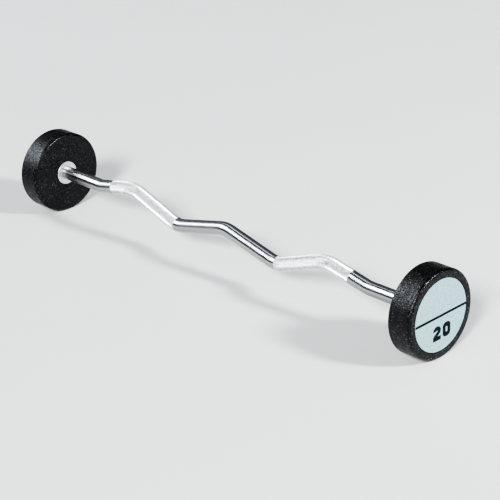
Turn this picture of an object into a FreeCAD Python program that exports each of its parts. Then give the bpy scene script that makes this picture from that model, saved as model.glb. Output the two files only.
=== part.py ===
import FreeCAD, Part
import math
import os

from FreeCAD import Placement, Rotation, Vector

# Fixed-weight EZ curl barbell: a cranked steel bar with a keyed and bolted weight head on each end.
# Millimetres. The origin is on the floor under the middle of the bar, +X runs along the bar and
# +Z is up. The bends lie in the upright XZ plane, with the outer grips' peaks at the top.

# Bar: horizontal runs from bend to bend, going out from the middle, and heights about the head axis
HEAD_SPACING = 990.0
BAR_DIAMETER = 28.0
CREST_TO_VALLEY = 143.0
VALLEY_TO_PEAK = 129.0
PEAK_TO_SHOULDER = 105.0
CREST_RISE = 10.75
VALLEY_DROP = 24.5
PEAK_RISE = 21.75
CREST_BEND_RADIUS = 64.0
VALLEY_BEND_RADIUS = 70.0
PEAK_BEND_RADIUS = 76.0
SHOULDER_BEND_RADIUS = 88.0
BAR_END_CHAMFER = 1.5

# Knurled grips, each from the middle of a valley bend outwards
KNURL_LENGTH = 200.0
KNURL_HEIGHT = 0.2

# Weight head
HEAD_DIAMETER = 172.0
HEAD_THICKNESS = 52.0
HEAD_EDGE_RADIUS = 6.5
CASING_SIDE_WALL = 4.0
CASING_INNER_WALL = 4.0
CASING_RIM_WIDTH = 17.0
CORE_EDGE_RADIUS = 3.0

# Locating collar at the inner face
COLLAR_DIAMETER = 50.0
COLLAR_THICKNESS = 10.0
COLLAR_PROUD = 1.0
COLLAR_CHAMFER = 1.0

# Face disc and its mounting tape
DISC_THICKNESS = 2.0
DISC_BELOW_RIM = 0.4
DISC_EDGE_CHAMFER = 0.3
TAPE_THICKNESS = 1.0
TAPE_WIDTH = 15.0
TAPE_INSET = 2.0

# Fastening at the bar's end
BOLT_DIAMETER = 12.0
BOLT_LENGTH = 35.0
BOLT_HEAD_HEIGHT = 7.5
BOLT_ACROSS_FLATS = 18.0
BOLT_TIP_CHAMFER = 1.0
BOLT_HEAD_CHAMFER_ANGLE = 30.0
SPRING_WASHER_THICKNESS = 2.5
SPRING_WASHER_WIDTH = 4.2
SPRING_WASHER_SPLIT = 1.5
SPRING_WASHER_SLANT = 20.0
CLAMP_WASHER_THICKNESS = 4.0
CLAMP_WASHER_LAND = 10.0
KEY_DIAMETER = 6.0
KEY_END_MARGIN = 4.0
KEY_CHAMFER = 0.5

# Clearances
SLIP_CLEARANCE = 0.05
THREAD_CLEARANCE = 0.05
BOLT_HOLE_CLEARANCE = 0.5
CASING_HOLE_CLEARANCE = 0.3
DISC_CLEARANCE = 0.2
POCKET_CLEARANCE = 2.0
POCKET_SPARE = 1.6
BAR_END_GAP = 1.0
TAPPED_HOLE_SPARE = 5.0
DRILL_POINT_ANGLE = 118.0

# Radii and places worked out from the sizes above, along the head axis from the inner face outwards
BAR_R = BAR_DIAMETER / 2
HEAD_R = HEAD_DIAMETER / 2
CORE_R = HEAD_R - CASING_SIDE_WALL
COLLAR_R = COLLAR_DIAMETER / 2
BOLT_R = BOLT_DIAMETER / 2
KEY_R = KEY_DIAMETER / 2
DISC_R = HEAD_R - CASING_RIM_WIDTH
CLAMP_WASHER_R = BAR_R + CLAMP_WASHER_LAND
POCKET_R = CLAMP_WASHER_R + POCKET_CLEARANCE
COLLAR_SEAT_X = COLLAR_THICKNESS - COLLAR_PROUD
DISC_FRONT_X = HEAD_THICKNESS - DISC_BELOW_RIM
DISC_BACK_X = DISC_FRONT_X - DISC_THICKNESS
CORE_FRONT_X = DISC_BACK_X - TAPE_THICKNESS
WASHERS_THICKNESS = CLAMP_WASHER_THICKNESS + SPRING_WASHER_THICKNESS
POCKET_FLOOR_X = CORE_FRONT_X - WASHERS_THICKNESS - BOLT_HEAD_HEIGHT - POCKET_SPARE
SPRING_WASHER_X = POCKET_FLOOR_X + CLAMP_WASHER_THICKNESS
BOLT_SEAT_X = POCKET_FLOOR_X + WASHERS_THICKNESS
BAR_END_X = POCKET_FLOOR_X - BAR_END_GAP
KEY_LENGTH = POCKET_FLOOR_X - COLLAR_SEAT_X - KEY_END_MARGIN

VALLEY_X = CREST_TO_VALLEY
PEAK_X = VALLEY_X + VALLEY_TO_PEAK
SHOULDER_X = PEAK_X + PEAK_TO_SHOULDER
HEAD_X = HEAD_SPACING / 2

AXIS = Vector(1, 0, 0)
HEXAGON = 6


def point(x, r):
    """A point of a half section: x along the head axis, r out from it."""
    return Vector(x, 0, r)


def line(a, b):
    return Part.LineSegment(a, b).toShape()


def round_corner(before, corner, after, radius):
    """Start, middle and end of the arc that rounds a corner between two straight runs."""
    back = (before - corner).normalize()
    ahead = (after - corner).normalize()
    half_turn = (math.pi - back.getAngle(ahead)) / 2
    setback = radius * math.tan(half_turn)
    depth = radius / math.cos(half_turn) - radius
    bisector = (back + ahead).normalize()
    return corner + back * setback, corner + bisector * depth, corner + ahead * setback


def rounded_path(corners):
    """Edges of a path through (point, radius) corners: straight runs joined by tangent arcs."""
    edges = []
    here = corners[0][0]
    for (before, _), (corner, radius), (after, _) in zip(corners, corners[1:], corners[2:]):
        if radius > 0:
            start, middle, end = round_corner(before, corner, after, radius)
            edges += [line(here, start), Part.Arc(start, middle, end).toShape()]
        else:
            edges.append(line(here, corner))
            end = corner
        here = end
    edges.append(line(here, corners[-1][0]))
    return edges


def turned(corners):
    """Solid of revolution about the head axis from the (x, r, corner radius) of its half section."""
    closed = [(point(x, r), radius) for x, r, radius in corners]
    closed.append(closed[0])
    face = Part.Face(Part.Wire(rounded_path(closed)))
    return face.revolve(Vector(0, 0, 0), AXIS, 360)


def rod(radius, start_x, end_x, chamfer=0.0):
    """Round rod on the head axis, with a chamfer at each end where one is asked for."""
    corners = [(start_x, 0, 0), (start_x, radius - chamfer, 0)]
    if chamfer > 0:
        corners += [(start_x + chamfer, radius, 0), (end_x - chamfer, radius, 0)]
    corners += [(end_x, radius - chamfer, 0), (end_x, 0, 0)]
    return turned(corners)


def ring(inner_r, outer_r, start_x, end_x):
    return turned([(start_x, inner_r, 0), (start_x, outer_r, 0), (end_x, outer_r, 0), (end_x, inner_r, 0)])


def key_slot():
    """Round hole half in the bar and half in the core, from the pocket floor inwards."""
    slot = rod(KEY_R + SLIP_CLEARANCE, POCKET_FLOOR_X - KEY_LENGTH, POCKET_FLOOR_X)
    slot.translate(Vector(0, 0, BAR_R))
    return slot


def tapped_hole():
    """Bolt hole in the bar's end, with the cone that the drill leaves at its bottom."""
    radius = BOLT_R + THREAD_CLEARANCE
    bottom_x = BOLT_SEAT_X - BOLT_LENGTH - TAPPED_HOLE_SPARE
    point_depth = radius / math.tan(math.radians(DRILL_POINT_ANGLE / 2))
    return turned([
        (BAR_END_X, 0, 0), (BAR_END_X, radius, 0), (bottom_x, radius, 0), (bottom_x - point_depth, 0, 0),
    ])


def on_right(shape):
    """Copy of a head piece on the bar's +X end."""
    placed = shape.copy()
    placed.Placement = Placement(Vector(HEAD_X, 0, HEAD_R), Rotation()).multiply(shape.Placement)
    return placed


def on_left(shape):
    """Copy of a head piece on the bar's -X end: the same piece, turned half round about the upright."""
    placed = shape.copy()
    half_turn = Rotation(Vector(0, 0, 1), 180)
    placed.Placement = Placement(Vector(-HEAD_X, 0, HEAD_R), half_turn).multiply(shape.Placement)
    return placed


def bar_path():
    """Edges of the bar's centre line: run, bend, run and so on, from the -X end to the +X end."""
    half = [
        (HEAD_X + BAR_END_X - BAR_END_CHAMFER, 0, 0),
        (SHOULDER_X, 0, SHOULDER_BEND_RADIUS),
        (PEAK_X, PEAK_RISE, PEAK_BEND_RADIUS),
        (VALLEY_X, -VALLEY_DROP, VALLEY_BEND_RADIUS),
    ]
    left = [(Vector(-x, 0, HEAD_R + z), radius) for x, z, radius in half]
    right = [(Vector(x, 0, HEAD_R + z), radius) for x, z, radius in reversed(half)]
    crest = (Vector(0, 0, HEAD_R + CREST_RISE), CREST_BEND_RADIUS)
    return rounded_path(left + [crest] + right)


def part_of_path(edges, start, end):
    """The stretch of a path between two lengths measured along it."""
    pieces = []
    passed = 0.0
    for edge in edges:
        first = max(start - passed, 0.0)
        last = min(end - passed, edge.Length)
        if first < last:
            span = edge.getParameterByLength(first), edge.getParameterByLength(last)
            pieces.append(edge.Curve.toShape(*span))
        passed += edge.Length
    return pieces


def round_bar(edges, radius):
    """Round bar of one radius bent along a path."""
    path = Part.Wire(edges)
    first = edges[0]
    start = first.valueAt(first.FirstParameter)
    section = Part.Face(Part.Wire(Part.makeCircle(radius, start, first.tangentAt(first.FirstParameter))))
    return path.makePipe(section)


def make_bar():
    edges = bar_path()
    length = sum(edge.Length for edge in edges)
    bar = round_bar(edges, BAR_R)
    # The valley is the third bend from each end, so its arc comes after three runs and two arcs
    before_valley, valley = edges[:5], edges[5]
    to_valley = sum(edge.Length for edge in before_valley) + valley.Length / 2
    for grip_start in (to_valley - KNURL_LENGTH, length - to_valley):
        grip = part_of_path(edges, grip_start, grip_start + KNURL_LENGTH)
        bar = bar.fuse(round_bar(grip, BAR_R + KNURL_HEIGHT))
    end = turned([
        (BAR_END_X - BAR_END_CHAMFER, 0, 0), (BAR_END_X - BAR_END_CHAMFER, BAR_R, 0),
        (BAR_END_X, BAR_R - BAR_END_CHAMFER, 0), (BAR_END_X, 0, 0),
    ])
    for place in (on_left, on_right):
        bar = bar.fuse(place(end))
        bar = bar.cut(place(tapped_hole())).cut(place(key_slot()))
    bar = bar.removeSplitter()
    print("bar length along its centre line", round(length + 2 * BAR_END_CHAMFER, 1))
    return bar


def make_collar():
    """Ring pressed on the bar: its outer side seats in the core, its chamfered edge shows."""
    bore = BAR_R + SLIP_CLEARANCE
    return turned([
        (-COLLAR_PROUD, bore, 0), (-COLLAR_PROUD, COLLAR_R - COLLAR_CHAMFER, 0),
        (COLLAR_CHAMFER - COLLAR_PROUD, COLLAR_R, 0), (COLLAR_SEAT_X, COLLAR_R, 0), (COLLAR_SEAT_X, bore, 0),
    ])


def make_core():
    """Steel weight with the collar's seat on its inner side and the bolt's pocket on its outer side."""
    bore = BAR_R + SLIP_CLEARANCE
    seat = COLLAR_R + SLIP_CLEARANCE
    core = turned([
        (COLLAR_SEAT_X, bore, 0), (COLLAR_SEAT_X, seat, 0), (CASING_INNER_WALL, seat, 0),
        (CASING_INNER_WALL, CORE_R, CORE_EDGE_RADIUS), (CORE_FRONT_X, CORE_R, CORE_EDGE_RADIUS),
        (CORE_FRONT_X, POCKET_R, 0), (POCKET_FLOOR_X, POCKET_R, 0), (POCKET_FLOOR_X, bore, 0),
    ])
    return core.cut(key_slot())


def make_casing():
    """Rubber moulded round the core: open round the collar and under the face disc."""
    hole = COLLAR_R + CASING_HOLE_CLEARANCE
    recess = DISC_R + DISC_CLEARANCE
    return turned([
        (0, hole, 0), (0, HEAD_R, HEAD_EDGE_RADIUS), (HEAD_THICKNESS, HEAD_R, HEAD_EDGE_RADIUS),
        (HEAD_THICKNESS, recess, 0), (CORE_FRONT_X, recess, 0), (CORE_FRONT_X, CORE_R, CORE_EDGE_RADIUS),
        (CASING_INNER_WALL, CORE_R, CORE_EDGE_RADIUS), (CASING_INNER_WALL, hole, 0),
    ])


def make_face_disc():
    return turned([
        (DISC_BACK_X, 0, 0), (DISC_BACK_X, DISC_R, 0), (DISC_FRONT_X - DISC_EDGE_CHAMFER, DISC_R, 0),
        (DISC_FRONT_X, DISC_R - DISC_EDGE_CHAMFER, 0), (DISC_FRONT_X, 0, 0),
    ])


def make_disc_tape():
    outer = DISC_R - TAPE_INSET
    return ring(outer - TAPE_WIDTH, outer, CORE_FRONT_X, DISC_BACK_X)


def make_key_pin():
    pin = rod(KEY_R, POCKET_FLOOR_X - KEY_LENGTH, POCKET_FLOOR_X, KEY_CHAMFER)
    pin.translate(Vector(0, 0, BAR_R))
    return pin


def make_clamp_washer():
    return ring(BOLT_R + BOLT_HOLE_CLEARANCE, CLAMP_WASHER_R, POCKET_FLOOR_X, SPRING_WASHER_X)


def make_spring_washer():
    """Split washer pressed flat, with the slanted gap of its coil."""
    inner = BOLT_R + SLIP_CLEARANCE
    washer = ring(inner, inner + SPRING_WASHER_WIDTH, SPRING_WASHER_X, BOLT_SEAT_X)
    reach = 2 * SPRING_WASHER_THICKNESS
    gap = Part.makeBox(reach, SPRING_WASHER_SPLIT, BOLT_DIAMETER + SPRING_WASHER_WIDTH)
    gap.translate(Vector(-reach / 2, -SPRING_WASHER_SPLIT / 2, 0))
    gap.rotate(Vector(0, 0, 0), Vector(0, 0, 1), SPRING_WASHER_SLANT)
    gap.translate(Vector(SPRING_WASHER_X + SPRING_WASHER_THICKNESS / 2, 0, 0))
    return washer.cut(gap)


def make_end_bolt():
    """Hexagon bolt, its head's corners turned off to a shallow cone."""
    flat_r = BOLT_ACROSS_FLATS / 2
    corner_r = flat_r / math.cos(math.pi / HEXAGON)
    corners = []
    for step in range(HEXAGON + 1):
        turn = step * 2 * math.pi / HEXAGON
        corners.append(Vector(BOLT_SEAT_X, corner_r * math.cos(turn), corner_r * math.sin(turn)))
    prism = Part.Face(Part.makePolygon(corners)).extrude(AXIS * BOLT_HEAD_HEIGHT)
    top_x = BOLT_SEAT_X + BOLT_HEAD_HEIGHT
    fall = (corner_r - flat_r) * math.tan(math.radians(BOLT_HEAD_CHAMFER_ANGLE))
    turned_head = turned([
        (BOLT_SEAT_X, 0, 0), (BOLT_SEAT_X, corner_r, 0), (top_x - fall, corner_r, 0),
        (top_x, flat_r, 0), (top_x, 0, 0),
    ])
    tip_x = BOLT_SEAT_X - BOLT_LENGTH
    shank = turned([
        (tip_x, 0, 0), (tip_x, BOLT_R - BOLT_TIP_CHAMFER, 0), (tip_x + BOLT_TIP_CHAMFER, BOLT_R, 0),
        (BOLT_SEAT_X, BOLT_R, 0), (BOLT_SEAT_X, 0, 0),
    ])
    return prism.common(turned_head).fuse(shank).removeSplitter()


def save(name, shape):
    solids = shape.Solids
    if len(solids) != 1 or not shape.isValid():
        raise ValueError(f"{name} is not one sound solid")
    solids[0].exportStep(f"parts/{name}.step")
    print(name, "volume", round(solids[0].Volume), "mm3")


HEAD_PIECES = {
    "collar": make_collar,
    "weight_core": make_core,
    "rubber_casing": make_casing,
    "key_pin": make_key_pin,
    "clamp_washer": make_clamp_washer,
    "spring_washer": make_spring_washer,
    "end_bolt": make_end_bolt,
    "disc_tape": make_disc_tape,
    "face_disc": make_face_disc,
}

os.makedirs("parts", exist_ok=True)
save("ez_bar", make_bar())
for piece, make in HEAD_PIECES.items():
    shape = make()
    save(f"left_{piece}", on_left(shape))
    save(f"right_{piece}", on_right(shape))
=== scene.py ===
# %% [markdown]
# Fixed-weight EZ curl barbell
#
# The real object is a cranked steel bar, chromed all over, with a knurled grip on each side and a
# round weight head keyed and bolted on each end. A head is a steel core in black pebbled rubber,
# a polished collar on its inner side and a pale disc with the weight's number on its outer side.
# The pieces are already built at their real size in the CAD model. This script loads that model as
# a fixed frame and dresses it, so nothing is measured by eye that the frame can tell.

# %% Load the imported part
import math

import bpy
from mathutils import Matrix, Vector, noise


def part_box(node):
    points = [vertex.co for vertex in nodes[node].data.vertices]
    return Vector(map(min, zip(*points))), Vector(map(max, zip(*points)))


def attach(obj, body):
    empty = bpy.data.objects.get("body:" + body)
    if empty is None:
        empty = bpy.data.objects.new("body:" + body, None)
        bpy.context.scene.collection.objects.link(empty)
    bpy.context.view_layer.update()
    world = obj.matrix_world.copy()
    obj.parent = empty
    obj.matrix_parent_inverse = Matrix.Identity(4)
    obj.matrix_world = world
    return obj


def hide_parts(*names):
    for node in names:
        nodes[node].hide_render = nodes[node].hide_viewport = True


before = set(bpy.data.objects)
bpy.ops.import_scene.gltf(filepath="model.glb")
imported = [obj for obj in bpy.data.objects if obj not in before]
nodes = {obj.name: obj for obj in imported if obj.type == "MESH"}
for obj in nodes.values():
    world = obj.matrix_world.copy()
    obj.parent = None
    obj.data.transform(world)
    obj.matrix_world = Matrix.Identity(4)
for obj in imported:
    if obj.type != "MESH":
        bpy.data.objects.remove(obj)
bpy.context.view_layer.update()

# %% [markdown]
# Sizes that everything else hangs on
#
# Each CAD node has a box, and a round head tells its radius, its axis and its two faces through that
# box. The sizes could be typed in, but then they would be wrong as soon as the CAD model changes. The
# right-hand head is read once. The left-hand one is the same head turned half round about the
# upright, so a piece is made once and placed twice.

# %% Read the head from the frame
casing_low, casing_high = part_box("right_rubber_casing")
core_low, core_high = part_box("right_weight_core")
_, disc_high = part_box("right_face_disc")
_, collar_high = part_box("right_collar")
_, bar_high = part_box("ez_bar")
AXIS_HEIGHT = (casing_low.z + casing_high.z) / 2
HEAD_RADIUS = (casing_high.z - casing_low.z) / 2
SIDES = {"left": Matrix.Rotation(math.pi, 4, "Z"), "right": Matrix.Identity(4)}
print("head radius", round(HEAD_RADIUS, 4), "thickness", round(casing_high.x - casing_low.x, 4))

# %% [markdown]
# Camera
#
# A product photograph like this is taken with a long lens from some way off, so the far head is only
# a little smaller than the near one. The place, the angles and the lens were worked out from the
# ellipses of the two heads and the corners of the bar. A camera can be made to look at a target, but
# three turns in a row also give the tilt: yaw turns it about the upright, pitch tips it down, and a
# small roll levels the picture as the photographer held it.

# %% Set up the camera
CAMERA_PLACE = Vector((2.29355, -2.09794, 1.46270))
CAMERA_YAW = math.radians(46.709)
CAMERA_PITCH = math.radians(24.483)
CAMERA_ROLL = math.radians(-2.633)
CAMERA_LENS_MM = 124.78
SENSOR_WIDTH_MM = 36

camera_data = bpy.data.cameras.new("camera")
camera_data.lens = CAMERA_LENS_MM
camera_data.sensor_width = SENSOR_WIDTH_MM
camera = bpy.data.objects.new("camera", camera_data)
bpy.context.scene.collection.objects.link(camera)
turned = Matrix.Rotation(CAMERA_YAW, 4, "Z")
tipped = Matrix.Rotation(math.pi / 2 - CAMERA_PITCH, 4, "X")
rolled = Matrix.Rotation(CAMERA_ROLL, 4, "Z")
camera.matrix_world = Matrix.Translation(CAMERA_PLACE) @ turned @ tipped @ rolled
bpy.context.scene.camera = camera
print("camera is", round(CAMERA_PLACE.length, 2), "m from the middle of the bar")

# %% [markdown]
# A helper for meshes
#
# Ready-made cylinders and modifiers could be put together for most of this part, but rings of corners
# give exact sizes and an even grid. Blender makes a mesh from a list of corners and a list of faces
# that name their corners by number. This helper does that, links the new object to the scene and
# shades it: all smooth, with an edge kept sharp where two faces meet at more than a set angle, which
# is how a turned part looks.

# %% Mesh helper
SHARP_ANGLE = math.radians(25)


def mesh_object(name, corners, faces):
    mesh = bpy.data.meshes.new(name)
    mesh.from_pydata(corners, [], faces)
    mesh.shade_smooth()
    mesh.set_sharp_from_angle(angle=SHARP_ANGLE)
    made = bpy.data.objects.new(name, mesh)
    bpy.context.scene.collection.objects.link(made)
    print(name, "has", len(mesh.vertices), "corners and", len(mesh.polygons), "faces")
    return made


# %% [markdown]
# Helpers for finishes
#
# Every finish here is one Principled shader whose even values are set on its own sockets, with a few
# texture nodes for what varies over the surface. Painted pictures could do that too, but each piece
# would have to be unwrapped for them. The patterns here read object coordinates, which are metres on
# every piece because all of them sit at the origin. So a pebble of two millimetres is asked for as
# 0.002, and only the bar needs unwrapping, to tell which way it runs.

# %% Make a finish and add nodes to it


def shader_of(material):
    return material.node_tree.nodes["Principled BSDF"]


def finish(name, **values):
    """A new finish with even values on the shader's sockets."""
    material = bpy.data.materials.new(name)
    material.use_nodes = True
    for socket, value in values.items():
        shader_of(material).inputs[socket.replace("_", " ")].default_value = value
    return material


def feed(material, socket, value):
    if isinstance(value, bpy.types.NodeSocket):
        material.node_tree.links.new(value, socket)
    else:
        socket.default_value = value


def add_node(material, kind, **inputs):
    made = material.node_tree.nodes.new(kind)
    for socket, value in inputs.items():
        feed(material, made.inputs[socket.replace("_", " ")], value)
    return made


def drive(material, **sources):
    """Lets patterns drive the shader's sockets."""
    for socket, source in sources.items():
        feed(material, shader_of(material).inputs[socket.replace("_", " ")], source)


def dress(piece, *materials):
    """Takes off what a piece wears and puts these finishes on."""
    piece.data.materials.clear()
    for material in materials:
        piece.data.materials.append(material)
    print(piece.name, "wears", " and ".join(material.name for material in materials))


# %% Patterns


def place_in(material):
    return add_node(material, "ShaderNodeTexCoord").outputs["Object"]


def cloud(material, size, detail=2.0):
    """Soft random pattern from 0 to 1 with features of about that size."""
    made = add_node(material, "ShaderNodeTexNoise", Vector=place_in(material), Scale=1 / size, Detail=detail)
    return made.outputs["Fac"]


def cells(material, size):
    """Cells round many scattered points, about that size apart."""
    return add_node(material, "ShaderNodeTexVoronoi", Vector=place_in(material), Scale=1 / size)


def grains(material, size):
    """Distance from the nearest of the points."""
    return cells(material, size).outputs["Distance"]


def flecks(material, size):
    """A random value from 0 to 1 for each cell."""
    return cells(material, size).outputs["Color"]


# %% What a pattern can drive


def spread(material, pattern, low, high, start=0.3, end=0.7):
    """Brings a pattern to the range from low to high, between two of its values."""
    made = add_node(material, "ShaderNodeMapRange", Value=pattern)
    for socket, number in (("From Min", start), ("From Max", end), ("To Min", low), ("To Max", high)):
        made.inputs[socket].default_value = number
    return made.outputs["Result"]


def tones(material, pattern, dark, light, start=0.3, end=0.7):
    """Colours a pattern from one tone to another, between two of its values."""
    made = add_node(material, "ShaderNodeValToRGB", Fac=pattern)
    for stop, position, colour in zip(made.color_ramp.elements, (start, end), (dark, light)):
        stop.position = position
        stop.color = (*colour, 1)
    return made.outputs["Color"]


def relief(material, pattern, depth, **others):
    """Tilts the surface as a relief of that depth would. Others are its Strength and a Normal below it."""
    made = add_node(material, "ShaderNodeBump", Height=pattern, Distance=depth, **others)
    return made.outputs["Normal"]


# %% [markdown]
# Floor
#
# The barbell lies on a wide sheet of pale paper. A sheet that curves up at the back would do as well,
# but the picture shows only the flat part, so one flat face is enough. The paper's tone varies a
# little, as matt paper does. Chrome shows whatever lies round it, so a photographer lays dark felt
# just outside the picture, and the chrome draws it as a thin dark line. The felt here is a second
# face close above the paper, a little askew so that its edge follows the left side of the picture.
# Only mirrored rays see it. It is hidden from the camera, from soft light and from the shadows, so
# the floor stays plain from every side.

# %% Sheet of paper
PAPER_REACH = 12.0


def flat_sheet(name, way, left, right, near, far, height):
    """One flat face, with its sides measured across and along a way over the floor."""
    sides = [(left, near), (right, near), (right, far), (left, far)]
    corners = [way @ Vector((across, ahead, height)) for across, ahead in sides]
    return mesh_object(name, corners, [(0, 1, 2, 3)])


floor = flat_sheet("floor", turned, -PAPER_REACH, PAPER_REACH, -PAPER_REACH, PAPER_REACH, height=0.0)
pale_paper = finish("pale_paper", Roughness=0.75)
paper_cloud = cloud(pale_paper, size=0.5)
drive(
    pale_paper,
    Base_Color=tones(pale_paper, paper_cloud, dark=(0.84, 0.85, 0.845), light=(0.86, 0.87, 0.865)),
)
dress(floor, pale_paper)

# %% Dark felt beside the picture
FELT_EDGE = -0.66
FELT_REACH = 20.0
FELT_HEIGHT = 0.001
FELT_ASKEW = math.radians(6.7)
felt_way = turned @ Matrix.Rotation(FELT_ASKEW, 4, "Z")
felt = flat_sheet("felt", felt_way, -FELT_REACH, FELT_EDGE, -FELT_REACH, FELT_REACH, FELT_HEIGHT)
felt.visible_camera = False
felt.visible_diffuse = False
felt.visible_shadow = False
dark_felt = finish("dark_felt", Roughness=0.9)
felt_cloud = cloud(dark_felt, size=0.02, detail=4.0)
drive(
    dark_felt,
    Base_Color=tones(dark_felt, felt_cloud, dark=(0.07, 0.075, 0.08), light=(0.10, 0.105, 0.11)),
)
dress(felt, dark_felt)

# %% [markdown]
# Lamps
#
# The shadows tell where the lamps are. A firm one runs from each head towards the left, away from a
# lamp on the right and a little behind. A wider and softer one lies behind the heads, away from a
# lamp at the front. Sun lamps would throw shadows like these, but their light is equally strong
# everywhere. So these are round lamps some way off: the front one so far that it lights the whole
# floor evenly, the side one nearer, so that its light fades a little towards the left. A lamp's width
# is given as an angle, because that is what makes its shadows firm or soft.

# %% Round lamps at a distance


def aim_light(data, name, place, away):
    """Puts a light at a place, with its back turned to the given direction."""
    made = bpy.data.objects.new(name, data)
    bpy.context.scene.collection.objects.link(made)
    facing = Vector(away).to_track_quat("Z", "Y").to_matrix().to_4x4()
    made.matrix_world = Matrix.Translation(place) @ facing
    return made


def round_lamp(name, direction, distance, width, strength):
    """A lamp that far off in a direction, with its width in degrees as the barbell sees it."""
    data = bpy.data.lights.new(name, "AREA")
    data.shape = "DISK"
    data.size = 2 * distance * math.tan(math.radians(width) / 2)
    data.energy = strength * math.pi * distance**2
    aim_light(data, name, Vector(direction).normalized() * distance, direction)
    print(name, "is", round(data.size, 2), "m wide and", distance, "m off")


round_lamp("front_lamp", direction=(0.394, -0.740, 0.545), distance=30.0, width=13, strength=3.15)
round_lamp("side_lamp", direction=(0.81, 0.27, 0.516), distance=9.0, width=9, strength=2.64)

# %% [markdown]
# What the chrome mirrors
#
# Chrome has no colour of its own, so its bands are drawn by what stands round it. The white band
# along the bar is a large softbox on the left. The dark line under it is the felt and the dim room
# between the softbox and the paper. The dark band on top is the room again, and the thin pale line
# in it is a small panel overhead. Softbox and panel could light the floor as well, but then a change
# to a band would change the shadows too. So both are kept out of the soft light and show only in
# gloss. A low panel on the left does the opposite: it lights matt surfaces alone, so that the left
# head's disc isn't dark when one looks at it from behind.

# %% Softbox and panels
COOL_WHITE = (0.88, 0.94, 1.0)


def softbox(name, place, width, height, power):
    """A rectangular light at a place, turned to the floor under the bar."""
    data = bpy.data.lights.new(name, "AREA")
    data.shape = "RECTANGLE"
    data.size = width
    data.size_y = height
    data.energy = power
    data.color = COOL_WHITE
    return aim_light(data, name, place, place)


left_softbox = softbox("left_softbox", place=(-3.94, -2.72, 3.58), width=3.0, height=3.4, power=460)
overhead_panel = softbox("overhead_panel", place=(-1.32, 0.70, 3.71), width=0.7, height=1.0, power=7.0)
left_fill = softbox("left_fill", place=(-4.5, 1.2, 0.45), width=2.0, height=0.6, power=60)
left_softbox.visible_diffuse = False
overhead_panel.visible_diffuse = False
left_fill.visible_glossy = False
print("lights:", [light.name for light in bpy.data.lights])

# %% [markdown]
# Room and view
#
# The rest of the studio is dim, even and a little blue, and it fills the shadows. It could be a
# picture of a real studio wrapped round the scene, but one tone is enough for the dark bands of the
# chrome. The view decides how light becomes picture tones, and its very high contrast gives the deep
# blacks and clear whites of a product photograph.

# %% Dim room
ROOM_TINT = (0.87, 0.95, 1.0, 1)
ROOM_STRENGTH = 0.20
world = bpy.data.worlds.new("studio")
world.use_nodes = True
room = world.node_tree.nodes["Background"]
room.inputs["Color"].default_value = ROOM_TINT
room.inputs["Strength"].default_value = ROOM_STRENGTH
bpy.context.scene.world = world
view = bpy.context.scene.view_settings
view.view_transform = "AgX"
view.look = "AgX - Very High Contrast"
print("room strength", ROOM_STRENGTH, "seen with", view.look)

# %% [markdown]
# Lines made of runs and bends
#
# The bar is one straight rod bent seven times, and the head's section is straight sides with rounded
# edges. Bezier curves come close to such bends but aren't round. Both lines are straight runs joined
# by round bends, so one helper serves for both: it takes the corners where the runs would meet and
# the radius at each, and gives the stretches in order. A run is a bend with no curvature, and one
# helper more gives a point and a heading on either.

# %% Runs and bends


def runs_and_bends(corners):
    """Stretches through (u, v, radius) corners, each as (start, heading, curvature, length)."""
    points = [Vector((u, v)) for u, v, _ in corners]
    steps = [after - before for before, after in zip(points, points[1:])]
    headings = [math.atan2(step.y, step.x) for step in steps]
    turns = [math.remainder(after - before, 2 * math.pi) for before, after in zip(headings, headings[1:])]
    turns = [0.0, *turns, 0.0]
    setbacks = [radius * math.tan(abs(turn) / 2) for (_, _, radius), turn in zip(corners, turns)]
    stretches = []
    for i, (step, heading) in enumerate(zip(steps, headings)):
        ahead = step.normalized()
        run = step.length - setbacks[i] - setbacks[i + 1]
        stretches.append((points[i] + ahead * setbacks[i], heading, 0.0, run))
        turn, radius = turns[i + 1], corners[i + 1][2]
        if turn and radius:
            start = points[i + 1] - ahead * setbacks[i + 1]
            stretches.append((start, heading, math.copysign(1 / radius, turn), radius * abs(turn)))
    return stretches


def along(stretch, distance):
    """Point and heading at a distance from the start of a stretch."""
    start, heading, curvature, _ = stretch
    ahead = heading + curvature * distance
    if curvature:
        shift = Vector((math.sin(ahead) - math.sin(heading), math.cos(heading) - math.cos(ahead))) / curvature
    else:
        shift = Vector((math.cos(heading), math.sin(heading))) * distance
    return start + shift, ahead


def steps_between(start, end, step):
    """Even steps from start to end, as near to the wished step as they can be."""
    count = max(1, round((end - start) / step))
    return [start + (end - start) * i / count for i in range(count + 1)]


# %% [markdown]
# The bar's centre line
#
# From the middle outwards the bar has a crest, a valley, a peak and a shoulder, and then runs
# straight into the head. The frame tells where the bar ends but not where it bends, so the corners
# are given again here as the CAD model has them: the distance along the bar, the height above the
# head's axis and the radius of the bend.

# %% Corners of the bar
CREST = (0.0, 0.01075, 0.064)
VALLEY = (0.143, -0.0245, 0.070)
PEAK = (0.272, 0.02175, 0.076)
SHOULDER = (0.377, 0.0, 0.088)
BAR_END = (bar_high.x, 0.0, 0.0)
BAR_RADIUS = 0.014

right_half = [VALLEY, PEAK, SHOULDER, BAR_END]
left_half = [(-x, above, radius) for x, above, radius in reversed(right_half)]
bar_corners = [*left_half, CREST, *right_half]
bar_line = runs_and_bends([(x, AXIS_HEIGHT + above, radius) for x, above, radius in bar_corners])
BAR_LENGTH = sum(length for _, _, _, length in bar_line)
print("bar is", round(BAR_LENGTH, 4), "m long on its centre line, in", len(bar_line), "stretches")


def on_bar(distance):
    """Point of the centre line at a distance from the left end, and the heading there."""
    for stretch in bar_line:
        length = stretch[3]
        if distance <= length:
            break
        distance -= length
    return along(stretch, distance)


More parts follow.
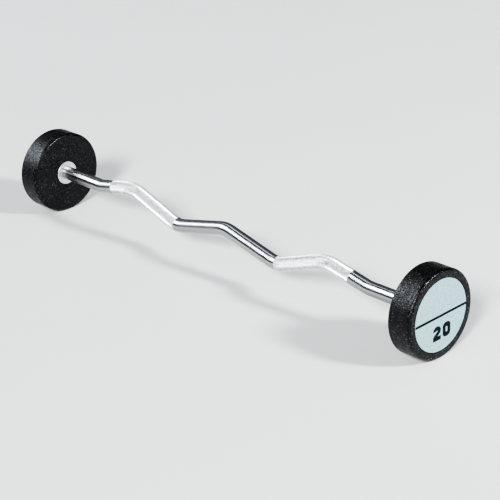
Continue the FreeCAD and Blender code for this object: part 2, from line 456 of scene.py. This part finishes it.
# %% [markdown]
# Bar with its knurling
#
# Knurling is rolled into the rod: two sets of slanting grooves cross and leave small pyramids, here
# seven tenths of a millimetre from tip to groove. A bump could fake them, but the pyramids are what
# the hand and the light meet, so they are real here. The rod is a grid of rings. In a grip every
# second corner is a pyramid's tip and the others are where grooves cross, like the squares of a chess
# board, and each cell is split along its groove. The ends, which sit inside the heads, have the
# chamfer, the bolt's hole and the key's slot.

# %% One ring of the bar
AROUND = 112
KEY_SLOT_RADIUS = 0.00305
bar_points = []


def slot_floor(angle):
    """How far from the axis the half-round key slot leaves steel, at an angle from the top."""
    aside = BAR_RADIUS * math.sin(angle)
    if math.cos(angle) < 0 or abs(aside) >= KEY_SLOT_RADIUS:
        return BAR_RADIUS
    return BAR_RADIUS * math.cos(angle) - math.sqrt(KEY_SLOT_RADIUS**2 - aside**2)


def add_ring(distance, radius, tip=None, slotted=False):
    """Adds a ring of corners round the bar, with every second one at the tip radius if there is one."""
    centre, heading = on_bar(distance)
    up = Vector((-math.sin(heading), 0, math.cos(heading)))
    row = len(bar_points) // AROUND
    for k in range(AROUND):
        angle = 2 * math.pi * k / AROUND
        r = tip if tip and (row + k) % 2 else radius
        if slotted:
            r = min(r, slot_floor(angle))
        aside = Vector((0, math.sin(angle), 0))
        bar_points.append(Vector((centre.x, 0, centre.y)) + (up * math.cos(angle) + aside) * r)


# %% Plain and knurled lengths
PLAIN_STEP = 0.003
KNURL_ROW = 0.00136
KNURL_RISE = 0.00030
KNURL_SINK = 0.00040
knurled_rows = set()


def add_plain(start, end):
    for distance in steps_between(start, end, PLAIN_STEP):
        add_ring(distance, BAR_RADIUS)


def add_knurl(start, end):
    first = len(bar_points) // AROUND
    for distance in steps_between(start, end, KNURL_ROW):
        add_ring(distance, BAR_RADIUS - KNURL_SINK, tip=BAR_RADIUS + KNURL_RISE)
    knurled_rows.update(range(first, len(bar_points) // AROUND - 1))


# %% Rings from the left end to the right end
KNURL_LENGTH = 0.200
END_CHAMFER = 0.0015
BOLT_HOLE_RADIUS = 0.00605
BOLT_HOLE_DEPTH = 0.0325
KEY_SLOT_LENGTH = 0.019
END_RINGS = [
    (BOLT_HOLE_DEPTH, BOLT_HOLE_RADIUS, False),
    (0.0, BOLT_HOLE_RADIUS, False),
    (0.0, BAR_RADIUS - END_CHAMFER, True),
    (END_CHAMFER, BAR_RADIUS, True),
    (KEY_SLOT_LENGTH, BAR_RADIUS, True),
]
# Each grip starts in the middle of a valley's bend, with five stretches between it and the bar's end
TO_VALLEY_BEND = 5
valley_length = bar_line[TO_VALLEY_BEND][3]
to_valley = sum(length for _, _, _, length in bar_line[:TO_VALLEY_BEND]) + valley_length / 2
from_valley = BAR_LENGTH - to_valley
for depth, radius, slotted in END_RINGS:
    add_ring(depth, radius, slotted=slotted)
add_plain(KEY_SLOT_LENGTH, to_valley - KNURL_LENGTH)
add_knurl(to_valley - KNURL_LENGTH, to_valley)
add_plain(to_valley, from_valley)
add_knurl(from_valley, from_valley + KNURL_LENGTH)
add_plain(from_valley + KNURL_LENGTH, BAR_LENGTH - KEY_SLOT_LENGTH)
for depth, radius, slotted in reversed(END_RINGS):
    add_ring(BAR_LENGTH - depth, radius, slotted=slotted)
bar_rows = len(bar_points) // AROUND
print(bar_rows, "rings,", len(knurled_rows), "of them knurled")

# %% Faces between the rings
bar_faces = []
for row in range(bar_rows - 1):
    for k in range(AROUND):
        a = row * AROUND + k
        b = row * AROUND + (k + 1) % AROUND
        c, d = b + AROUND, a + AROUND
        if row not in knurled_rows:
            bar_faces.append((a, b, c, d))
        elif (row + k) % 2:
            bar_faces += [(a, b, d), (b, c, d)]
        else:
            bar_faces += [(a, b, c), (a, c, d)]
print(len(bar_faces), "faces between the rings")

# %% Drill points, and the bar put together
DRILL_POINT = 0.0036
left_point = BOLT_HOLE_DEPTH + DRILL_POINT
right_point = BAR_LENGTH - BOLT_HOLE_DEPTH - DRILL_POINT
for row, distance in ((0, left_point), (bar_rows - 1, right_point)):
    centre, _ = on_bar(distance)
    bar_points.append(Vector((centre.x, 0, centre.y)))
    for k in range(AROUND):
        edge = (row * AROUND + k, row * AROUND + (k + 1) % AROUND)
        if row == 0:
            edge = edge[::-1]
        bar_faces.append((*edge, len(bar_points) - 1))
bar = mesh_object("knurled_bar", bar_points, bar_faces)
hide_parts("ez_bar")
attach(bar, "root")

# %% [markdown]
# Chrome
#
# The rod is ground round before it is plated, and the wheel leaves scratches too fine to see. They
# run round the bar, so they smear what it mirrors along its length and leave it crisp across, which
# is why the bands are long streaks and the heads hardly show in them. A rougher finish would blur the
# bands both ways, so this is an anisotropic one. It has to know which way the bar runs, so the grid of
# rings is unwrapped: along the bar and round it. The knurled grips have the same plating, but the
# rolled flanks of the pyramids are duller, and fine flecks make each a little brighter or darker than
# the next.

# %% Unwrap the bar along its length
unwrapped = bar.data.uv_layers.new(name="along_and_around")
for loop in bar.data.loops:
    row, k = divmod(loop.vertex_index, AROUND)
    unwrapped.data[loop.index].uv = (row / bar_rows, k / AROUND)
print("unwrapped as", unwrapped.name)

# %% Chrome finishes
chrome = finish("chrome", Metallic=1.0, Base_Color=(0.42, 0.425, 0.435, 1), Anisotropic=1.0)
bar_way = add_node(chrome, "ShaderNodeTangent")
bar_way.direction_type = "UV_MAP"
bar_way.uv_map = unwrapped.name
drive(
    chrome,
    Roughness=spread(chrome, cloud(chrome, size=0.03), low=0.21, high=0.25),
    Tangent=bar_way.outputs["Tangent"],
)

DULL_FLANK = (0.50, 0.505, 0.51)
BRIGHT_FLANK = (0.985, 0.99, 0.995)
knurl_chrome = finish("knurl_chrome", Metallic=1.0)
flanks = flecks(knurl_chrome, size=0.0016)
drive(
    knurl_chrome,
    Base_Color=tones(knurl_chrome, flanks, DULL_FLANK, BRIGHT_FLANK, start=0.2, end=0.8),
    Roughness=spread(knurl_chrome, cloud(knurl_chrome, size=0.004), low=0.34, high=0.42),
)
dress(bar, chrome, knurl_chrome)

# %% Knurl finish on the pyramids alone
for face in bar.data.polygons:
    rows_of_face = {corner // AROUND for corner in face.vertices}
    if min(rows_of_face) in knurled_rows and len(face.vertices) == 3:
        face.material_index = 1
print("knurled faces:", sum(face.material_index for face in bar.data.polygons))

# %% [markdown]
# Rubber casing
#
# The rubber is moulded round the core, and the mould leaves small pebbles all over it. The rounded
# edges have half of the pebbling, so the light that they catch is a dotted line. A bump alone could
# show the pebbles, but not on the outline, so the larger ones are real dents, a fifth of a millimetre
# deep, and the finish adds the finer grain. The casing is turned like a pot: a half section of runs
# and bends, swept round the axis, with rows close enough together on the skin for the pebbles. Every
# dent goes inwards, so the casing keeps its size. How pebbled each corner is goes into the mesh as an
# attribute, which the finish reads too.

# %% Half section of the casing
EDGE_ROUND = 0.0065
CORE_EDGE_ROUND = 0.003
LIP_ROUND = 0.0012
DISC_GAP = 0.0002
COLLAR_GAP = 0.0003
core_radius = core_high.y
collar_hole = collar_high.y + COLLAR_GAP
disc_recess = disc_high.y + DISC_GAP
casing_section = runs_and_bends([
    (core_low.x, collar_hole, 0),
    (casing_low.x, collar_hole, LIP_ROUND),
    (casing_low.x, HEAD_RADIUS, EDGE_ROUND),
    (casing_high.x, HEAD_RADIUS, EDGE_ROUND),
    (casing_high.x, disc_recess, LIP_ROUND),
    (core_high.x, disc_recess, 0),
    (core_high.x, core_radius, CORE_EDGE_ROUND),
    (core_low.x, core_radius, CORE_EDGE_ROUND),
    (core_low.x, collar_hole, 0),
])
# The skin goes from the collar's hole over the outside to the disc's recess, and the rest is hidden
SKIN_STRETCHES = 9
print("casing section has", len(casing_section), "stretches,", SKIN_STRETCHES, "of them on the skin")

# %% Rows of the section, close together on the skin
SKIN_STEP = 0.0011
HIDDEN_STEP = 0.05
BEND_STEP = 0.0008
PEBBLE_FADE = 0.002
EDGE_PEBBLED = 0.50
section_rows = []
for number, stretch in enumerate(casing_section):
    _, _, curvature, length = stretch
    on_skin = number < SKIN_STRETCHES
    step = SKIN_STEP if on_skin else HIDDEN_STEP
    if curvature:
        step = min(step, BEND_STEP)
    for distance in steps_between(0, length, step)[:-1]:
        pebbled = EDGE_PEBBLED if on_skin else 0.0
        if on_skin and not curvature:
            from_edge = min(distance, length - distance)
            pebbled = min(1.0, EDGE_PEBBLED + from_edge / PEBBLE_FADE)
        section_rows.append((*along(stretch, distance), pebbled))
print("casing has", len(section_rows), "rows")

# %% Corners of the casing, with the dents between pebbles
HEAD_AROUND = 480
PEBBLE_SIZE = 0.0036
PEBBLE_DEPTH = 0.0002
FULL_DENT = 0.6


def pebble_dent(place):
    """How dented the skin is: 0 in a pebble's middle, 1 where that is FULL_DENT pebble sizes away."""
    distances, _ = noise.voronoi(place / PEBBLE_SIZE)
    return min(1.0, distances[0] / FULL_DENT)


casing_points = []
for point, heading, pebbled in section_rows:
    inwards = Vector((math.sin(heading), -math.cos(heading)))
    for k in range(HEAD_AROUND):
        angle = 2 * math.pi * k / HEAD_AROUND
        y, z = math.sin(angle), math.cos(angle)
        place = Vector((point.x, y * point.y, z * point.y))
        if pebbled:
            dent = pebble_dent(place) * PEBBLE_DEPTH * pebbled
            place += Vector((inwards.x, y * inwards.y, z * inwards.y)) * dent
        casing_points.append(place + Vector((0, 0, AXIS_HEIGHT)))
print("casing has", len(casing_points), "corners")

# %% Casings on both heads
casing_faces = []
for row in range(len(section_rows)):
    next_row = (row + 1) % len(section_rows)
    for k in range(HEAD_AROUND):
        next_k = (k + 1) % HEAD_AROUND
        a, b = row * HEAD_AROUND + k, row * HEAD_AROUND + next_k
        c, d = next_row * HEAD_AROUND + next_k, next_row * HEAD_AROUND + k
        casing_faces.append((a, b, c, d))

casings = []
for side, turn in SIDES.items():
    casing = mesh_object(f"{side}_pebbled_casing", [turn @ place for place in casing_points], casing_faces)
    how_pebbled = casing.data.attributes.new("pebbled", "FLOAT", "POINT")
    how_pebbled.data.foreach_set("value", [row[2] for row in section_rows for _ in range(HEAD_AROUND)])
    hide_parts(f"{side}_rubber_casing")
    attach(casing, "root")
    casings.append(casing)

# %% [markdown]
# Black rubber
#
# Vulcanised rubber is almost black with a cold tint, and it has a dull shine that breaks up on the
# pebbles into many small glints. One even roughness would give a smooth sheen like plastic. So the
# finish lays more pebbles and a finer grain over those of the mesh, and each grain has a gloss of its
# own. A few specks are painted pale in the base colour. They are painted glints, where a pebble
# catches a lamp.

# %% Round humps


def humps(material, size):
    """Humps about that size apart, 1 on their tops and falling off between them."""
    apart = grains(material, size)
    squared = add_node(material, "ShaderNodeMath")
    squared.operation = "MULTIPLY"
    for socket in squared.inputs[:2]:
        feed(material, socket, apart)
    return spread(material, squared.outputs["Value"], low=1, high=0, start=0, end=1)


# %% Rubber finish
GRAIN_SIZE = 0.0018
PAINTED_GLINT_SIZE = 0.0012
RUBBER_BLACK = (0.001, 0.001, 0.002)
PAINTED_GLINT = (0.24, 0.255, 0.28)
rubber = finish("black_rubber", Specular_IOR_Level=0.37)
skin = add_node(rubber, "ShaderNodeAttribute")
skin.attribute_name = "pebbled"
pebbled_here = skin.outputs["Fac"]
pebbles = relief(rubber, humps(rubber, PEBBLE_SIZE), depth=0.0003, Strength=pebbled_here)
grain = relief(rubber, humps(rubber, GRAIN_SIZE), depth=0.0005, Strength=pebbled_here, Normal=pebbles)
# Painted glints: pale specks painted into the base colour, standing in for pebbles that catch a lamp
painted_glints = flecks(rubber, PAINTED_GLINT_SIZE)
drive(
    rubber,
    Base_Color=tones(rubber, painted_glints, RUBBER_BLACK, PAINTED_GLINT, start=0.82, end=1.0),
    Roughness=spread(rubber, flecks(rubber, GRAIN_SIZE), low=0.54, high=0.14, start=0.1, end=0.9),
    Normal=grain,
)
for casing in casings:
    dress(casing, rubber)

# %% [markdown]
# Face disc and its print
#
# A pale duck-egg disc of plastic with a fine grain is set a little below the rubber rim. A dark line
# crosses it and the weight stands below the line in heavy figures. Blender can set figures as text,
# but its font is lighter than these, so they are drawn here from arcs and straight sides. The ink is
# a film, so line and figures are thin solids that stand a tenth of a millimetre proud of the disc.
# They are drawn flat, across and up from the disc's middle as one looks at it, then raised and set on
# both heads.

# %% Arcs and round corners
ARC_STEPS = 14


def arc(centre, across, up, start, end):
    """Points of an elliptical arc between two angles in degrees."""
    angles = [math.radians(start + (end - start) * i / ARC_STEPS) for i in range(ARC_STEPS + 1)]
    return [(centre[0] + across * math.cos(a), centre[1] + up * math.sin(a)) for a in angles]


def rounded_block(left, base, width, height, corner):
    """Outline of a block with round corners, from its right side round to the left."""
    right, top = left + width - corner, base + height - corner
    left, base = left + corner, base + corner
    outline = []
    for centre, start in (((right, top), 0), ((left, top), 90), ((left, base), 180), ((right, base), 270)):
        outline += arc(centre, corner, corner, start, start + 90)
    return outline


# %% Outlines of the figures
FIGURE_WIDTH = 0.0210
FIGURE_HEIGHT = 0.0280
FIGURE_BASE = -0.0460
STROKE = 0.0087
TWO_LEFT = -0.0214
ZERO_LEFT = 0.0046
ZERO_SIDE = 0.0080
ZERO_CORNER = 0.0085
ZERO_HOLE_CORNER = 0.0022


def two_outline(left, base):
    """A foot along the base, a slanting stroke and a bowl on top, in one line round all three."""
    bowl_up = FIGURE_HEIGHT * 0.33
    bowl = (left + FIGURE_WIDTH / 2, base + FIGURE_HEIGHT - bowl_up)
    foot = STROKE * 0.92
    under_slant = left + FIGURE_WIDTH * 0.56
    over_slant = base + foot * 1.1
    outline = [(left, base), (left + FIGURE_WIDTH, base), (left + FIGURE_WIDTH, base + foot)]
    outline.append((under_slant, base + foot))
    outline += arc(bowl, FIGURE_WIDTH / 2, bowl_up, start=-35, end=180)
    outline += arc(bowl, FIGURE_WIDTH / 2 - STROKE, bowl_up - foot, start=180, end=-20)
    outline.append((left, over_slant))
    return outline


two = two_outline(TWO_LEFT, FIGURE_BASE)
zero_outer = rounded_block(ZERO_LEFT, FIGURE_BASE, FIGURE_WIDTH, FIGURE_HEIGHT, ZERO_CORNER)
zero_inner = rounded_block(
    left=ZERO_LEFT + ZERO_SIDE,
    base=FIGURE_BASE + STROKE,
    width=FIGURE_WIDTH - 2 * ZERO_SIDE,
    height=FIGURE_HEIGHT - 2 * STROKE,
    corner=ZERO_HOLE_CORNER,
)
print("figures are", FIGURE_HEIGHT * 1000, "mm tall")

# %% Outline of the dividing line
LINE_WIDTH = 0.0050
LINE_HEIGHT = -0.0005
LINE_MARGIN = 0.0006
line_end = disc_high.y - LINE_MARGIN
line_low, line_high = LINE_HEIGHT - LINE_WIDTH / 2, LINE_HEIGHT + LINE_WIDTH / 2
line_outline = [(-line_end, line_low), (line_end, line_low), (line_end, line_high), (-line_end, line_high)]
print("line is", round(2000 * line_end, 1), "mm long")

# %% Raise the outlines into thin solids
INK_THICKNESS = 0.0001
INK_SUNK = 0.00005
print_points = []
print_faces = []


def add_layers(outline):
    """Adds an outline twice, sunk and proud, and gives the numbers of the two loops."""
    loops = []
    for x in (disc_high.x - INK_SUNK, disc_high.x + INK_THICKNESS):
        first = len(print_points)
        print_points.extend(Vector((x, across, AXIS_HEIGHT + up)) for across, up in outline)
        loops.append(range(first, len(print_points)))
    return loops


def add_wall(one, other):
    for i in range(len(one)):
        j = (i + 1) % len(one)
        print_faces.append((one[i], one[j], other[j], other[i]))


for outline in (line_outline, two):
    sunk, proud = add_layers(outline)
    add_wall(sunk, proud)
    print_faces.append(tuple(proud))
    print_faces.append(tuple(reversed(sunk)))
outer_sunk, outer_proud = add_layers(zero_outer)
inner_sunk, inner_proud = add_layers(zero_inner)
add_wall(outer_sunk, outer_proud)
add_wall(outer_proud, inner_proud)
add_wall(inner_proud, inner_sunk)
add_wall(inner_sunk, outer_sunk)
print("print has", len(print_faces), "faces")

# %% Set the print on both discs
prints = []
for side, turn in SIDES.items():
    ink = mesh_object(f"{side}_disc_print", [turn @ place for place in print_points], print_faces)
    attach(ink, "root")
    prints.append(ink)

# %% Disc and ink finishes
DUCK_EGG_DARK = (0.215, 0.355, 0.385)
DUCK_EGG_LIGHT = (0.325, 0.49, 0.525)
pale_disc = finish("pale_disc", Roughness=0.38)
drive(
    pale_disc,
    Base_Color=tones(pale_disc, flecks(pale_disc, size=0.0013), DUCK_EGG_DARK, DUCK_EGG_LIGHT),
    Normal=relief(pale_disc, cloud(pale_disc, size=0.0008), depth=0.00003),
)
dark_ink = finish("dark_ink", Specular_IOR_Level=0.2)
ink_cloud = cloud(dark_ink, size=0.003)
drive(
    dark_ink,
    Base_Color=tones(dark_ink, ink_cloud, dark=(0.004, 0.006, 0.007), light=(0.008, 0.010, 0.012)),
    Roughness=spread(dark_ink, cloud(dark_ink, size=0.002), low=0.5, high=0.65),
)
for side, ink in zip(SIDES, prints):
    dress(nodes[f"{side}_face_disc"], pale_disc)
    dress(ink, dark_ink)

# %% [markdown]
# Collar
#
# The collar is a turned steel ring. A lathe tool leaves fine rings round the axis, and polishing
# softens them. They are far too fine to model, so they are a relief in the finish: a wave that reads
# the distance from the head's axis, so that the rings run round the collar wherever it sits along the
# bar.

# %% Turned steel
WAVE_AT_SCALE_1 = 0.314
RING_WAVER = 0.6


def rings_round_axis(material, spacing):
    """Waves round the head axis, that far apart."""
    centred = add_node(material, "ShaderNodeVectorMath")
    centred.operation = "SUBTRACT"
    feed(material, centred.inputs[0], place_in(material))
    centred.inputs[1].default_value = (0, 0, AXIS_HEIGHT)
    made = add_node(material, "ShaderNodeTexWave", Vector=centred.outputs["Vector"], Distortion=RING_WAVER)
    made.wave_type = "RINGS"
    made.rings_direction = "X"
    made.inputs["Scale"].default_value = WAVE_AT_SCALE_1 / spacing
    return made.outputs["Fac"]


turned_steel = finish("turned_steel", Metallic=1.0, Base_Color=(0.78, 0.77, 0.76, 1))
lathe_rings = rings_round_axis(turned_steel, spacing=0.0004)
drive(
    turned_steel,
    Roughness=spread(turned_steel, cloud(turned_steel, size=0.004), low=0.30, high=0.40),
    Normal=relief(turned_steel, lathe_rings, depth=0.000004),
)
for side in SIDES:
    dress(nodes[f"{side}_collar"], turned_steel)

# %% [markdown]
# What the rubber and the disc hide
#
# Inside each head are the steel core, the bolt with its two washers, the key pin that stops the head
# from turning, and the foam tape under the disc. They could be left bare, since they show only when
# the head is taken apart. They keep their CAD shapes, but each still gets its own finish: cast and
# painted steel for the core, zinc plate for the fasteners and open foam for the tape.

# %% Painted core
core_steel = finish("core_steel", Metallic=0.3)
core_cloud = cloud(core_steel, size=0.006, detail=4.0)
drive(
    core_steel,
    Base_Color=tones(core_steel, core_cloud, dark=(0.035, 0.035, 0.038), light=(0.075, 0.072, 0.070)),
    Roughness=spread(core_steel, cloud(core_steel, size=0.003), low=0.5, high=0.75),
    Normal=relief(core_steel, cloud(core_steel, size=0.0015, detail=4.0), depth=0.0002),
)
for side in SIDES:
    dress(nodes[f"{side}_weight_core"], core_steel)

# %% Zinc-plated fasteners
zinc_plate = finish("zinc_plate", Metallic=1.0)
spangle = grains(zinc_plate, size=0.002)
drive(
    zinc_plate,
    Base_Color=tones(zinc_plate, spangle, dark=(0.52, 0.53, 0.55), light=(0.66, 0.67, 0.68)),
    Roughness=spread(zinc_plate, cloud(zinc_plate, size=0.002), low=0.28, high=0.42),
)
for side in SIDES:
    for fastener in ("key_pin", "clamp_washer", "spring_washer", "end_bolt"):
        dress(nodes[f"{side}_{fastener}"], zinc_plate)

# %% Foam tape
foam = finish("foam_tape", Roughness=0.9)
foam_cells = grains(foam, size=0.0005)
drive(
    foam,
    Base_Color=tones(foam, foam_cells, dark=(0.02, 0.02, 0.02), light=(0.06, 0.06, 0.06)),
    Normal=relief(foam, grains(foam, size=0.0004), depth=0.0001),
)
for side in SIDES:
    dress(nodes[f"{side}_disc_tape"], foam)
